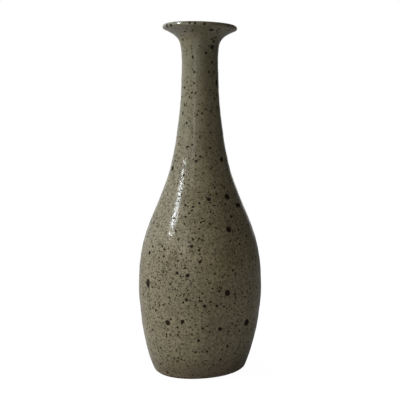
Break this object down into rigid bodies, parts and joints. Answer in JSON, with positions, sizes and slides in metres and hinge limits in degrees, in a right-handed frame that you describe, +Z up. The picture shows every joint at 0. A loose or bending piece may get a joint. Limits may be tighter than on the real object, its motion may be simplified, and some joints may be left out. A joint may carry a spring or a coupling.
{
  "type": "bottle vase",
  "caption": "Slim-necked stoneware bottle vase with an egg-shaped belly, flared lip and bare trimmed foot ring, glazed outside and in.",
  "frame": {"origin": "middle of the foot ring, on the surface that the vase stands on", "axes": "+Z up along the turning axis, from the foot to the lip; -Y faces the viewer of the picture and +X is on their right"},
  "size_m": [0.093, 0.093, 0.2608],
  "materials": {
    "stoneware": "bare fired clay, matt and slightly rough",
    "speckled_glaze": "satin gloss grey-green glaze with iron specks",
    "liner_glaze": "satin gloss grey-green glaze"
  },
  "bodies": {
    "root": {"stoneware_body": "stoneware", "outer_glaze": "speckled_glaze", "liner_glaze": "liner_glaze"}
  },
  "joints": []
}
